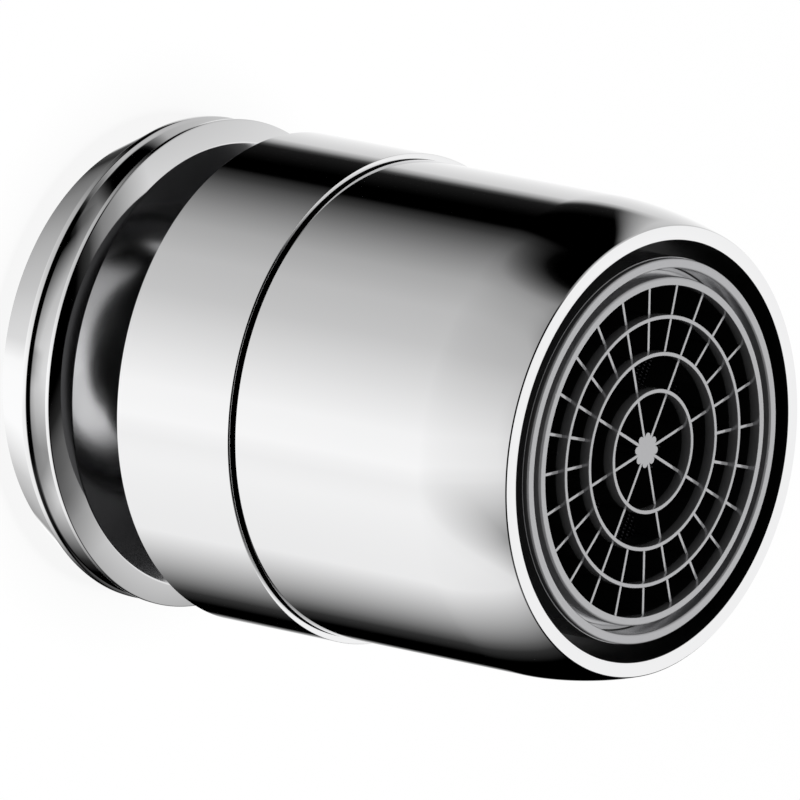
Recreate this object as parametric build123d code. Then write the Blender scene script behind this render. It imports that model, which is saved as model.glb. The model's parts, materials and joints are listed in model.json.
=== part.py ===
"""Swivelling tap aerator: a threaded collar with a ball, a two-part chromed body and a grey aerator insert.

Millimetres. The origin is the centre of the collar's tap-side face, and +Z runs along the axis to the outlet.
Outlines are drawn as (radius, height) and turned once round the Z axis.
"""
from build123d import *
from math import cos, hypot, radians, sin, sqrt
import os

ON_FOOT = (Align.CENTER, Align.CENTER, Align.MIN)

# Tap side of the collar, with its M22 x 1 thread drawn as a plain bore at the thread's minor radius
tap_thread_r = 10.46
tap_thread_length = 2.95
thread_mouth = 0.35
washer_pocket_depth = 0.45
washer_thickness = 1.2
washer_hole_r = 6.8
collar_face_width = 1.14
collar_edge = 0.15
collar_flare = 1.4
collar_back_length = 2.95
collar_lip_land = 0.3
collar_lip_drop = 0.1
collar_lip_step = 0.3
collar_lip_slope = 0.1

# Flange in front of the collar, and the dish that hides the neck
relief_length = 0.95
relief_taper = 0.45
flange_back_slope = 0.45
flange_edge_length = 0.23
flange_bevel = 0.04
flange_face_width = 1.15
flange_face_rise = 0.48
dish_rise = 0.35
dish_fillet = 1.4
swivel_gap = 4.92

# Ball and waterway
waterway_r = 4.3
neck_wall = 1.9
seat_wall = 1.6
ball_front = 5.4
ball_mouth_wall = 1.3
mouth_depth = 3.6
ball_ring_r = 0.75
ball_ring_angle = 66.0

# Sleeve and nose
ball_setback = 7.75
sleeve_length = 7.97
sleeve_wall = 1.57
sleeve_back_wall = 1.3
sleeve_edge = 0.03
sleeve_lip_thickness = 1.1
lip_reveal = 0.5
spigot_wall = 0.9
seam_step = 0.32
seam_groove_width = 0.24
seam_groove_depth = 0.4
nose_length = 18.68
nose_curve_length = 5.5
rim_width = 0.83
rim_edge = 0.06
outlet_gap = 0.98
outlet_recess = 5.0

# Rings that hold and seal the ball, as distances from the ball's centre
slip_back = 4.8
slip_front = 2.2
spigot_gap = 0.2
seat_back = 1.8
seat_front = 6.3
seat_ring_place = 4.5
seat_cord_r = 0.6
gasket_thickness = 1.8
gasket_width = 2.1

# Aerator insert
insert_r = 10.62
insert_flange_width = 0.36
insert_flange_thickness = 1.2
insert_wall = 0.72
chamber_ledge = 0.6
front_step = 0.03
front_step_depth = 0.38
front_ring_wall = 0.55
front_ring_round = 0.12
air_windows = 8
air_window_width = 3.0
air_window_height = 1.0
air_window_setback = 0.3
strainer_rim_thickness = 0.7
strainer_rim_width = 1.3
strainer_dome = 0.65
strainer_wall = 0.5
strainer_hole_r = 0.55
strainer_ring_pitch = 2.15
strainer_rings = 3
strainer_first_holes = 6
regulator_thickness = 2.3
regulator_floor = 0.8
regulator_channel_r = 5.3
regulator_channel_width = 2.6
regulator_ring_r = 0.9
regulator_lobes = 6
regulator_lobe_r = 0.5
regulator_hole_r = 0.6
jet_plate_thickness = 1.1
jet_dish_depth = 0.4
jet_rim_width = 1.0
jet_hole_r = 0.45
jet_ring_r = 5.3
jet_ring_pitch = 2.3
inner_jets = 12
outer_jets = 20
screen_thickness = 0.15
screen_pitch = 2.0
screen_wire = 0.5
screen_border = 1.1
spacer_thickness = 0.45
spacer_width = 0.7

# Outlet grid
grid_depth = 2.75
grid_groove_width = 0.46
grid_groove_depth = 1.2
grid_step_width = 0.2
grid_step_depth = 0.35
lip_wall = 0.46
lip_round = 0.15
ring_wall = 0.22
ring_depth = 2.1
outer_cell = 1.63
ring_pitch = 2.025
ring_count = 3
spoke_width = 0.18
spoke_setback = 0.47
inner_spokes = 8
outer_spokes = 24
hub_r = 0.75
hub_lobe_r = 0.22

# Clearances
ball_clearance = 0.08
ring_clearance = 0.05
slip_clearance = 0.1
turning_gap = 0.05
thread_clearance = 0.05
insert_clearance = 0.1
stack_clearance = 0.05

# Radii that follow, from the insert outwards
insert_flange_r = insert_r + insert_flange_width
nose_bore_r = insert_flange_r + insert_clearance
spigot_r = nose_bore_r + spigot_wall
sleeve_bore_r = spigot_r + thread_clearance
sleeve_need_r = sleeve_bore_r + sleeve_wall
rim_inner_r = insert_r + outlet_gap
rim_outer_r = rim_inner_r + rim_width
ball_r = nose_bore_r - seat_wall
seat_sphere_r = ball_r + ball_clearance
neck_r = waterway_r + neck_wall
pocket_r = tap_thread_r + washer_pocket_depth
collar_need_r = tap_thread_r + thread_mouth + collar_face_width + collar_edge
flange_need_r = collar_need_r + collar_flare + collar_lip_drop

# Body radius shared by the flange and the sleeve, and the radii taken inwards from it
body_r = max(sleeve_need_r, flange_need_r)
nose_r = body_r - seam_step
collar_lip_r = body_r - collar_lip_drop
collar_back_r = collar_lip_r - collar_flare
relief_r = collar_lip_r - collar_lip_step
waist_r = relief_r - relief_taper
dish_r = body_r - flange_bevel - flange_face_width

# Heights that follow, from the tap side to the outlet
pocket_floor_z = tap_thread_length + thread_mouth + washer_thickness
relief_z = collar_back_length + collar_lip_slope
waist_z = relief_z + relief_length
flange_back_z = waist_z + flange_back_slope
flange_z = flange_back_z + flange_edge_length
dish_z = flange_z + flange_bevel + flange_face_rise
sleeve_back_z = flange_z + flange_bevel + swivel_gap
ball_z = sleeve_back_z + ball_setback
seam_z = sleeve_back_z + sleeve_length
rim_z = seam_z + nose_length
slip_back_z = ball_z - slip_back
slip_front_z = ball_z - slip_front
sleeve_shoulder_z = slip_back_z - turning_gap
spigot_z = slip_front_z + spigot_gap
seat_back_z = ball_z + seat_back
seat_front_z = ball_z + seat_front
seat_ring_z = ball_z + seat_ring_place
gasket_z = seat_front_z + turning_gap
insert_z = gasket_z + gasket_thickness
shoulder_z = insert_z + insert_flange_thickness
recess_z = rim_z - outlet_recess
regulator_z = insert_z + strainer_rim_thickness
jet_plate_z = regulator_z + regulator_thickness
chamber_z = jet_plate_z + jet_plate_thickness
grid_z = rim_z - grid_depth
lower_screen_z = grid_z - screen_thickness
spacer_z = lower_screen_z - spacer_thickness
upper_screen_z = spacer_z - screen_thickness

# Radii inside the insert
stack_r = insert_r - insert_wall
chamber_r = stack_r - chamber_ledge
front_ring_r = insert_r - front_step
front_bore_r = front_ring_r - front_ring_wall
lip_outer_r = front_bore_r - grid_groove_width
lip_inner_r = lip_outer_r - lip_wall


def turned(*lines):
    """Turn a closed outline of joined lines, drawn as (radius, height), once round the Z axis."""
    outline = [edge for line in lines for edge in line.edges()]
    return revolve(Plane.XZ * make_face(outline), Axis.Z)


def turned_points(*points):
    """Turn a closed outline with straight sides."""
    return turned(Polyline(*points, close=True))


def tube(outer_r, inner_r, low_z, high_z):
    """Plain ring with a square section."""
    return turned_points((inner_r, low_z), (outer_r, low_z), (outer_r, high_z), (inner_r, high_z))


def round_ring(centre_r, cord_r, height_z):
    """Ring with a round section."""
    return turned(Pos(centre_r, height_z) * Circle(cord_r).wire())


def on_sphere(sphere_r, offset):
    """Radius of a sphere's circle at a distance from its centre along the axis."""
    return sqrt(sphere_r ** 2 - offset ** 2)


def around(count, radius, start=0.0):
    """Evenly spaced places on a circle, each turned to face outwards."""
    return [Rot(0, 0, start + 360 * k / count) * Pos(radius, 0, 0) for k in range(count)]


def rod(rod_r, low_z, high_z):
    """Round bar along Z."""
    return Pos(0, 0, low_z) * Cylinder(rod_r, high_z - low_z, align=ON_FOOT)


def holes(rings, hole_r, low_z, high_z):
    """Rods on rings of (radius, count), used to pierce a plate."""
    bar = rod(hole_r, low_z, high_z)
    return [place * bar for radius, count in rings for place in around(count, radius)]


def ball_nipple():
    """Collar, flange, dish, neck and ball, turned as one piece with the waterway through it."""
    bevel_z = flange_z + flange_bevel
    neck_foot_r = neck_r + dish_fillet
    neck_foot_z = dish_z + dish_rise
    mouth_z = ball_z + ball_front
    mouth_r = on_sphere(ball_r, ball_front) - ball_mouth_wall
    neck_top_z = ball_z - on_sphere(ball_r, neck_r)
    outside = Polyline(
        (tap_thread_r + thread_mouth, 0),
        (collar_back_r - collar_edge, 0),
        (collar_back_r, collar_edge),
        (collar_lip_r, collar_back_length - collar_lip_land),
        (collar_lip_r, collar_back_length),
        (relief_r, relief_z),
        (waist_r, waist_z),
        (body_r, flange_back_z),
        (body_r, flange_z),
        (body_r - flange_bevel, bevel_z),
        (dish_r, dish_z),
        (neck_foot_r, neck_foot_z),
    )
    fillet_arc = TangentArc((neck_r, neck_foot_z + dish_fillet), (neck_foot_r, neck_foot_z), tangent=(0, -1))
    neck = Line((neck_r, neck_foot_z + dish_fillet), (neck_r, neck_top_z))
    ball = ThreePointArc((neck_r, neck_top_z), (ball_r, ball_z), (on_sphere(ball_r, ball_front), mouth_z))
    inside = Polyline(
        (on_sphere(ball_r, ball_front), mouth_z),
        (mouth_r, mouth_z),
        (waterway_r, mouth_z - mouth_depth),
        (waterway_r, pocket_floor_z),
        (pocket_r, pocket_floor_z),
        (pocket_r, pocket_floor_z - washer_thickness),
        (tap_thread_r, pocket_floor_z - washer_thickness),
        (tap_thread_r, thread_mouth),
        (tap_thread_r + thread_mouth, 0),
    )
    nipple = turned(outside, fillet_arc, neck, ball, inside)
    ring_r, ring_z = ball_ring_place()
    half_groove = ball_ring_r + ring_clearance
    return nipple - tube(ball_r + seat_wall, ring_r - half_groove, ring_z - half_groove, ring_z + half_groove)


def ball_ring_place():
    """Centre of the ball ring's section: the ring lies pressed level with the ball."""
    reach = ball_r - ball_ring_r - ring_clearance
    return reach * sin(radians(ball_ring_angle)), ball_z + reach * cos(radians(ball_ring_angle))


def tap_washer():
    floor_z = pocket_floor_z
    return tube(pocket_r - stack_clearance, washer_hole_r, floor_z - washer_thickness, floor_z)


def ball_oring():
    ring_r, ring_z = ball_ring_place()
    return round_ring(ring_r, ball_ring_r, ring_z)


def rear_slip_ring():
    """Ring with a hollow spherical inside, held against the sleeve's lip."""
    outer_r = sleeve_bore_r - slip_clearance
    back_r = on_sphere(seat_sphere_r, slip_back)
    front_r = on_sphere(seat_sphere_r, slip_front)
    middle = (slip_back + slip_front) / 2
    hollow = ThreePointArc(
        (front_r, slip_front_z), (on_sphere(seat_sphere_r, middle), ball_z - middle), (back_r, slip_back_z)
    )
    rest = Polyline(
        (back_r, slip_back_z),
        (outer_r, slip_back_z),
        (outer_r, slip_front_z),
        (front_r, slip_front_z),
    )
    return turned(hollow, rest)


def seat_ring():
    """Seat in front of the ball, with a groove outside for its sealing ring."""
    outer_r = nose_bore_r - slip_clearance
    throat = seat_ring_place
    throat_r = on_sphere(seat_sphere_r, throat)
    back_r = on_sphere(seat_sphere_r, seat_back)
    middle = (throat + seat_back) / 2
    hollow = ThreePointArc(
        (back_r, seat_back_z),
        (on_sphere(seat_sphere_r, middle), ball_z + middle),
        (throat_r, ball_z + throat),
    )
    rest = Polyline(
        (throat_r, ball_z + throat),
        (throat_r, seat_front_z),
        (outer_r, seat_front_z),
        (outer_r, seat_back_z),
        (back_r, seat_back_z),
    )
    half_groove = seat_cord_r + ring_clearance
    groove_r = seat_oring_r() - half_groove
    groove = tube(nose_bore_r, groove_r, seat_ring_z - half_groove, seat_ring_z + half_groove)
    return turned(hollow, rest) - groove


def seat_oring_r():
    """Radius of the seat ring's seal, which reaches to the nose bore."""
    return nose_bore_r - ring_clearance - seat_cord_r


def seat_oring():
    return round_ring(seat_oring_r(), seat_cord_r, seat_ring_z)


def retaining_sleeve():
    """Sleeve with an open back, a lip that keeps the ball in, and a threaded front drawn as a plain bore."""
    open_r = body_r - sleeve_back_wall
    lip_r = on_sphere(seat_sphere_r, slip_back) + lip_reveal
    lip_back_z = sleeve_shoulder_z - sleeve_lip_thickness
    return turned_points(
        (open_r, sleeve_back_z),
        (body_r, sleeve_back_z),
        (body_r, seam_z - sleeve_edge),
        (body_r - sleeve_edge, seam_z),
        (sleeve_bore_r, seam_z),
        (sleeve_bore_r, sleeve_shoulder_z),
        (lip_r, sleeve_shoulder_z),
        (lip_r, lip_back_z),
    )


def nose_housing():
    """Nose with a threaded spigot at the back, a shoulder for the insert and a rim that curves in."""
    groove_r = nose_r - seam_groove_depth
    groove_z = seam_z + seam_groove_width
    curve_z = rim_z - nose_curve_length
    guide_r = insert_r + insert_clearance
    back = Polyline(
        (nose_bore_r, spigot_z),
        (spigot_r, spigot_z),
        (spigot_r, seam_z),
        (groove_r, seam_z),
        (groove_r, groove_z),
        (nose_r, groove_z),
        (nose_r, curve_z),
    )
    curve = TangentArc((nose_r, curve_z), (rim_outer_r, rim_z - rim_edge), tangent=(0, 1))
    front = Polyline(
        (rim_outer_r, rim_z - rim_edge),
        (rim_outer_r - rim_edge, rim_z),
        (rim_inner_r, rim_z),
        (rim_inner_r, recess_z),
        (guide_r, recess_z),
        (guide_r, shoulder_z),
        (nose_bore_r, shoulder_z),
        (nose_bore_r, spigot_z),
    )
    return turned(back, curve, front)


def insert_gasket():
    outer_r = nose_bore_r - stack_clearance
    return tube(outer_r, outer_r - gasket_width, gasket_z, insert_z)


def insert_housing():
    """Insert shell: a flange that hangs on the nose's shoulder, air windows and the front ring."""
    window_low_z = recess_z + air_window_setback
    shell = turned_points(
        (stack_r, insert_z),
        (insert_flange_r, insert_z),
        (insert_flange_r, shoulder_z),
        (insert_r, shoulder_z),
        (insert_r, rim_z - front_step_depth),
        (front_ring_r, rim_z - front_step_depth),
        (front_ring_r, rim_z - front_ring_round),
        (front_ring_r - front_ring_round, rim_z),
        (front_bore_r + front_ring_round, rim_z),
        (front_bore_r, rim_z - front_ring_round),
        (front_bore_r, upper_screen_z),
        (chamber_r, upper_screen_z),
        (chamber_r, chamber_z),
        (stack_r, chamber_z),
    )
    wall = insert_r - chamber_r
    window = Pos(0, 0, window_low_z) * Box(2 * wall, air_window_width, air_window_height, align=ON_FOOT)
    return shell - [place * window for place in around(air_windows, chamber_r + wall / 2)]


def strainer():
    """Perforated dome on a flat rim."""
    rim_r = stack_r - stack_clearance
    dome_r = rim_r - strainer_rim_width
    top_z = insert_z - strainer_dome
    body = turned(
        TangentArc((0, top_z), (dome_r, insert_z), tangent=(1, 0)),
        Polyline((dome_r, insert_z), (rim_r, insert_z), (rim_r, regulator_z), (dome_r, regulator_z)),
        TangentArc((0, top_z + strainer_wall), (dome_r, regulator_z), tangent=(1, 0)),
        Line((0, top_z), (0, top_z + strainer_wall)),
    )
    rings = [(k * strainer_ring_pitch, k * strainer_first_holes) for k in range(1, strainer_rings + 1)]
    return body - holes(rings, strainer_hole_r, top_z, regulator_z)


def regulator_body():
    """Regulator disc with a ring channel open to the strainer and a lobed core."""
    disc = tube(stack_r - stack_clearance, 0, regulator_z, jet_plate_z)
    floor_z = jet_plate_z - regulator_floor
    half = regulator_channel_width / 2
    inner_r = regulator_channel_r - half
    channel = tube(regulator_channel_r + half, inner_r, regulator_z, floor_z)
    lobe = rod(regulator_lobe_r, regulator_z, floor_z)
    lobes = [place * lobe for place in around(regulator_lobes, inner_r)]
    ports = holes(((regulator_channel_r, 2 * regulator_lobes),), regulator_hole_r, floor_z, jet_plate_z)
    return disc - (channel - lobes) - ports


def regulator_oring():
    """Elastic ring lying on the floor of the regulator's channel, against the outer wall."""
    outer_r = regulator_channel_r + regulator_channel_width / 2
    floor_z = jet_plate_z - regulator_floor
    reach = regulator_ring_r + stack_clearance
    return round_ring(outer_r - reach, regulator_ring_r, floor_z - reach)


def jet_plate():
    """Plate pierced by jets, with a shallow dish on the regulator's side that spreads the water."""
    outer_r = stack_r - stack_clearance
    plate = tube(outer_r, 0, jet_plate_z, chamber_z)
    dish = rod(outer_r - jet_rim_width, jet_plate_z, jet_plate_z + jet_dish_depth)
    rings = ((jet_ring_r, inner_jets), (jet_ring_r + jet_ring_pitch, outer_jets))
    return plate - dish - holes(rings, jet_hole_r, jet_plate_z, chamber_z)


def screen(low_z):
    """Steel screen, with its mesh drawn as square openings inside a plain border."""
    disc_r = front_bore_r - stack_clearance
    disc = tube(disc_r, 0, low_z, low_z + screen_thickness)
    side = screen_pitch - screen_wire
    opening = Pos(0, 0, low_z) * Box(side, side, screen_thickness, align=ON_FOOT)
    reach = int(disc_r // screen_pitch)
    steps = [k * screen_pitch for k in range(-reach, reach + 1)]
    mesh_r = disc_r - screen_border
    inside = [(x, y) for x in steps for y in steps if hypot(abs(x) + side / 2, abs(y) + side / 2) < mesh_r]
    return disc - [Pos(x, y, 0) * opening for x, y in inside]


def upper_screen():
    return screen(upper_screen_z)


def lower_screen():
    return screen(lower_screen_z)


def screen_spacer():
    outer_r = front_bore_r - stack_clearance
    return tube(outer_r, outer_r - spacer_width, spacer_z, lower_screen_z)


def spokes(count, inner_r, outer_r):
    """Radial bars of the outlet grid, set back behind the rings."""
    length = outer_r - inner_r
    depth = ring_depth - spoke_setback
    bar = Pos(0, 0, rim_z - ring_depth) * Box(length, spoke_width, depth, align=ON_FOOT)
    return [place * bar for place in around(count, (inner_r + outer_r) / 2)]


def outlet_grid():
    """Outlet grid: a lip on a stepped flange, thin rings, spokes behind them and a lobed hub."""
    flange_r_out = front_bore_r - stack_clearance
    groove_z = rim_z - grid_groove_depth
    step_z = groove_z - grid_step_depth
    step_r = lip_outer_r + grid_step_width
    rim = turned_points(
        (lip_inner_r, grid_z),
        (flange_r_out, grid_z),
        (flange_r_out, step_z),
        (step_r, step_z),
        (step_r, groove_z),
        (lip_outer_r, groove_z),
        (lip_outer_r, rim_z - lip_round),
        (lip_outer_r - lip_round, rim_z),
        (lip_inner_r, rim_z),
    )
    outer_ring_r = lip_inner_r - outer_cell - ring_wall / 2
    radii = [outer_ring_r - k * ring_pitch for k in range(ring_count)]
    rings = [tube(r + ring_wall / 2, r - ring_wall / 2, rim_z - ring_depth, rim_z) for r in radii]
    hub = rod(hub_r, rim_z - ring_depth, rim_z - spoke_setback)
    lobe = rod(hub_lobe_r, rim_z - ring_depth, rim_z - spoke_setback)
    lobes = [place * lobe for place in around(inner_spokes, hub_r, 180 / inner_spokes)]
    ring_middle_r = radii[1]
    long_bars = spokes(inner_spokes, hub_r / 2, ring_middle_r)
    short_bars = spokes(outer_spokes, ring_middle_r, lip_inner_r + lip_wall / 2)
    return rim + rings + hub + lobes + long_bars + short_bars


PIECES = (
    ball_nipple,
    tap_washer,
    ball_oring,
    rear_slip_ring,
    seat_ring,
    seat_oring,
    retaining_sleeve,
    nose_housing,
    insert_gasket,
    strainer,
    regulator_body,
    regulator_oring,
    jet_plate,
    insert_housing,
    upper_screen,
    screen_spacer,
    lower_screen,
    outlet_grid,
)

os.makedirs("parts", exist_ok=True)
for piece in PIECES:
    export_step(piece(), f"parts/{piece.__name__}.step")
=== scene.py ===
# %% [markdown]
# # A swivelling tap aerator in chrome and grey plastic
# The aerator screws onto a tap. A collar carries a ball, and the chromed body turns and tilts on that ball.
# The imported CAD model is loaded as a fixed frame, and every new mesh is placed by sizes read from it.
# We keep the CAD box straight after loading.

# %% Load the frame
import bmesh
import bpy
import json
import math
from mathutils import Matrix, Vector


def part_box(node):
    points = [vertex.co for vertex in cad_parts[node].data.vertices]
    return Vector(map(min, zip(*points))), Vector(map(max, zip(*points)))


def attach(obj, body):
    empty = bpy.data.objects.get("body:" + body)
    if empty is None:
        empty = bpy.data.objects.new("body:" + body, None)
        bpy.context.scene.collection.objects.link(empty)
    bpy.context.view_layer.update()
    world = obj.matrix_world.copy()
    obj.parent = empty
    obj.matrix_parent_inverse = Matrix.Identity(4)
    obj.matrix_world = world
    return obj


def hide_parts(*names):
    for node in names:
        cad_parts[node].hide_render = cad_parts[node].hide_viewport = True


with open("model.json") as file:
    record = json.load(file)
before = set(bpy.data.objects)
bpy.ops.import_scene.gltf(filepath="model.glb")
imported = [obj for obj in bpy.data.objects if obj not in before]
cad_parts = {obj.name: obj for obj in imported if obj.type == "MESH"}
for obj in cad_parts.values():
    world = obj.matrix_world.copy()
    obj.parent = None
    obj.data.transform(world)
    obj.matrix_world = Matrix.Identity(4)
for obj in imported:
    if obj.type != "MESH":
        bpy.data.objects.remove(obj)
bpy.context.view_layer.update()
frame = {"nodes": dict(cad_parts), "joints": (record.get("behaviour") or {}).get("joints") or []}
MM = 0.001


# %% [markdown]
# ## The camera
# The photograph looks down into the outlet, with the aerator's axis pointing right and a little down.
# A camera could be nudged by eye until it fits. We write it as three angles and one scale instead, all
# measured on the ellipses of the round edges, so that each number has a meaning.
# A long lens far away keeps those ellipses as flat as they are in the photograph.

# %% Directions of the photograph
SIGHT_TO_AXIS = math.radians(51.2)
AXIS_DROP = math.radians(11.3)
CAMERA_TURN = math.radians(13.9)

sideways = Vector((math.cos(CAMERA_TURN), math.sin(CAMERA_TURN), 0))
away = Vector((-math.sin(CAMERA_TURN), math.cos(CAMERA_TURN), 0))
upwards = Vector((0, 0, 1))
leaning = away * math.cos(SIGHT_TO_AXIS) + upwards * math.sin(SIGHT_TO_AXIS)
photo_right = leaning * math.cos(AXIS_DROP) - sideways * math.sin(AXIS_DROP)
photo_down = leaning * math.sin(AXIS_DROP) + sideways * math.cos(AXIS_DROP)
sight = away * math.sin(SIGHT_TO_AXIS) - upwards * math.cos(SIGHT_TO_AXIS)
print("the camera looks along", [round(part, 2) for part in sight])

# %% Camera
PICTURE_SIDE = 800
PIXELS_PER_MM = 18.47
FOCAL_PIXELS = 20000
RIM_CENTRE_PIXEL = (653.2, 451.7)
SENSOR_MM = 36.0
NEAREST_SEEN = 0.1
FARTHEST_SEEN = 20

rim_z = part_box("nose_housing")[1].z / MM
camera_data = bpy.data.cameras.new("photo_camera")
camera_data.sensor_width = SENSOR_MM
camera_data.lens = FOCAL_PIXELS / PICTURE_SIDE * SENSOR_MM
camera_data.clip_start = NEAREST_SEEN
camera_data.clip_end = FARTHEST_SEEN
camera = bpy.data.objects.new("photo_camera", camera_data)
bpy.context.scene.collection.objects.link(camera)
bpy.context.scene.camera = camera
rim_right, rim_down = [(pixel - PICTURE_SIDE / 2) / PIXELS_PER_MM for pixel in RIM_CENTRE_PIXEL]
distance = FOCAL_PIXELS / PIXELS_PER_MM
rim_centre = upwards * rim_z
place = rim_centre - photo_right * rim_right - photo_down * rim_down - sight * distance
turn = Matrix((photo_right, -photo_down, -sight)).transposed()
camera.matrix_world = Matrix.Translation(place * MM) @ turn.to_4x4()
print("camera is", round(distance), "mm away, lens", round(camera_data.lens), "mm")


# %% [markdown]
# ## Tools for node trees
# Materials, groups and the world are all node trees, and each of them needs nodes, sockets and sums.
# Three small helpers keep the later cells to the nodes that matter. In Blender 4.5 a group's sockets
# belong to its interface, so `new_group` makes them there.

# %% Node helpers
def add_node(tree, kind, **settings):
    node = tree.nodes.new(kind)
    for name, value in settings.items():
        setattr(node, name, value)
    return node


def new_group(name, inputs, outputs):
    """Shader node group with float inputs and outputs, given as names and default values."""
    tree = bpy.data.node_groups.new(name, "ShaderNodeTree")
    for label, value in inputs.items():
        socket = tree.interface.new_socket(label, in_out="INPUT", socket_type="NodeSocketFloat")
        socket.default_value = value
    for label in outputs:
        tree.interface.new_socket(label, in_out="OUTPUT", socket_type="NodeSocketFloat")
    return tree, add_node(tree, "NodeGroupInput"), add_node(tree, "NodeGroupOutput")


def math_node(tree, operation, first, second):
    """Math node whose two inputs are sockets or plain numbers."""
    node = add_node(tree, "ShaderNodeMath", operation=operation)
    for socket, value in zip(node.inputs, (first, second)):
        if isinstance(value, bpy.types.NodeSocket):
            tree.links.new(value, socket)
        else:
            socket.default_value = value
    return node.outputs["Value"]


# %% [markdown]
# ## Haze and grain
# Polished, moulded and rubber surfaces are never perfectly even: they carry a faint haze and a fine grain.
# Each material could have its own noise nodes, but both effects are shared, so they are node groups that
# each material places with its own scale and strength. They read Object coordinates, because a piece keeps
# those when the model is exported.

# %% Haze group
HAZE_DETAIL = 4
HAZE_ROUGHNESS = 0.6
HAZE_LOW, HAZE_HIGH = 0.3, 0.7


def make_haze_group():
    """Soft patches between a low and a high value, as polish or handling leaves them."""
    inputs = {"Patches per metre": 300, "Low": 0.05, "High": 0.1}
    tree, given, result = new_group("surface_haze", inputs, ["Value"])
    place = add_node(tree, "ShaderNodeTexCoord")
    noise = add_node(tree, "ShaderNodeTexNoise")
    noise.inputs["Detail"].default_value = HAZE_DETAIL
    noise.inputs["Roughness"].default_value = HAZE_ROUGHNESS
    spread = add_node(tree, "ShaderNodeMapRange")
    spread.inputs["From Min"].default_value = HAZE_LOW
    spread.inputs["From Max"].default_value = HAZE_HIGH
    tree.links.new(place.outputs["Object"], noise.inputs["Vector"])
    tree.links.new(given.outputs["Patches per metre"], noise.inputs["Scale"])
    tree.links.new(noise.outputs["Fac"], spread.inputs["Value"])
    tree.links.new(given.outputs["Low"], spread.inputs["To Min"])
    tree.links.new(given.outputs["High"], spread.inputs["To Max"])
    tree.links.new(spread.outputs["Result"], result.inputs["Value"])
    return tree


haze_group = make_haze_group()
print("node group:", haze_group.name)

# %% Grain group
GRAIN_DETAIL = 2


def make_grain_group():
    """Height of the fine grain that a mould leaves on plastic and rubber."""
    inputs = {"Grains per metre": 6000, "Depth": 1.0}
    tree, given, result = new_group("mould_grain", inputs, ["Height"])
    place = add_node(tree, "ShaderNodeTexCoord")
    noise = add_node(tree, "ShaderNodeTexNoise")
    noise.inputs["Detail"].default_value = GRAIN_DETAIL
    tree.links.new(place.outputs["Object"], noise.inputs["Vector"])
    tree.links.new(given.outputs["Grains per metre"], noise.inputs["Scale"])
    height = math_node(tree, "MULTIPLY", noise.outputs["Fac"], given.outputs["Depth"])
    tree.links.new(height, result.inputs["Height"])
    return tree


grain_group = make_grain_group()
print("node group:", grain_group.name)


# %% [markdown]
# ## From groups to materials
# A material here is one Principled shader. What is the same all over the surface, such as colour or metal,
# is set on the shader's own sockets, because an exported model keeps those. Only what changes over the
# surface comes through a group: haze goes to Roughness, and grain goes through a Bump node to Normal.

# %% Material helpers
def place_group(tree, group, **values):
    """Group node whose inputs are given by name, with an underscore for each space."""
    node = add_node(tree, "ShaderNodeGroup", node_tree=group)
    for label, value in values.items():
        node.inputs[label.replace("_", " ")].default_value = value
    return node


def new_material(name, colour, metallic):
    """Principled material with its plain values set on the shader's own sockets."""
    material = bpy.data.materials.new(name)
    material.use_nodes = True
    material.diffuse_color = (*colour, 1)
    shader = material.node_tree.nodes["Principled BSDF"]
    shader.inputs["Base Color"].default_value = (*colour, 1)
    shader.inputs["Metallic"].default_value = metallic
    return material, material.node_tree, shader


def haze_roughness(tree, shader, patches, low, high):
    haze = place_group(tree, haze_group, Patches_per_metre=patches, Low=low, High=high)
    tree.links.new(haze.outputs["Value"], shader.inputs["Roughness"])


def grain_bump(tree, shader, grains, depth_mm):
    grain = place_group(tree, grain_group, Grains_per_metre=grains, Depth=1.0)
    bump = add_node(tree, "ShaderNodeBump")
    bump.inputs["Distance"].default_value = depth_mm * MM
    tree.links.new(grain.outputs["Height"], bump.inputs["Height"])
    tree.links.new(bump.outputs["Normal"], shader.inputs["Normal"])


# %% [markdown]
# ## Metals
# The body is chromed brass: a mirror with a trace of polishing haze. The dish and the neck look softer, so
# they are satin. Plating hardly reaches into a bore, so the waterway and the thread show the brass and the
# inside of the sleeve is dull plating, darkened further as painted shade. Narrow recesses get a nearly black
# metal as painted shade, and the screens' steel wire is nearly black as painted shade.
# One function makes them all, from a colour and a range of haze.

# %% Metal finishes
METAL_PATCHES = 250


def polished_metal(name, colour, low, high):
    material, tree, shader = new_material(name, colour, metallic=1.0)
    haze_roughness(tree, shader, METAL_PATCHES, low, high)
    return material


chrome = polished_metal("chrome", (0.92, 0.92, 0.925), 0.03, 0.06)
satin_chrome = polished_metal("satin_chrome", (0.7, 0.7, 0.71), 0.1, 0.16)
# Nearly black metal: painted shade in the nose's recess and groove and on the sleeve's front face
painted_shade_metal = polished_metal("painted_shade_metal", (0.03, 0.03, 0.031), 0.4, 0.55)
# Dull plating made nearly black: partly dull plating, partly painted shade inside the sleeve
dull_plating_painted_shade = polished_metal("dull_plating_painted_shade", (0.07, 0.07, 0.072), 0.3, 0.4)
bare_brass = polished_metal("bare_brass", (0.80, 0.66, 0.36), 0.22, 0.34)
# Nearly black steel: painted shade for the screens deep in the cells
painted_shade_wire = polished_metal("painted_shade_wire", (0.012, 0.012, 0.0125), 0.3, 0.45)
print("materials with the metals:", len(bpy.data.materials))


# %% [markdown]
# ## Plastics and rubber
# The insert is grey moulded plastic with a satin gleam, which a part of Metallic gives. Its cells look black
# inside, so the walls deep in them get a nearly black plastic as painted shade. Strainer and regulator are
# white, the slip rings are dark, the jet plate takes the same dark plastic as painted shade, and the seals
# are black rubber. All of them carry the mould's grain, which one function adds to the shader. It is coarser
# on the dark plastic and the rubber.

# %% Moulded finishes
MOULD_PATCHES = 400
FINE_GRAINS = 7000
COARSE_GRAINS = 5000


def moulded(name, colour, low, high, grains, depth_mm, gleam=0.0):
    material, tree, shader = new_material(name, colour, metallic=gleam)
    haze_roughness(tree, shader, MOULD_PATCHES, low, high)
    grain_bump(tree, shader, grains, depth_mm)
    return material


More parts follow.
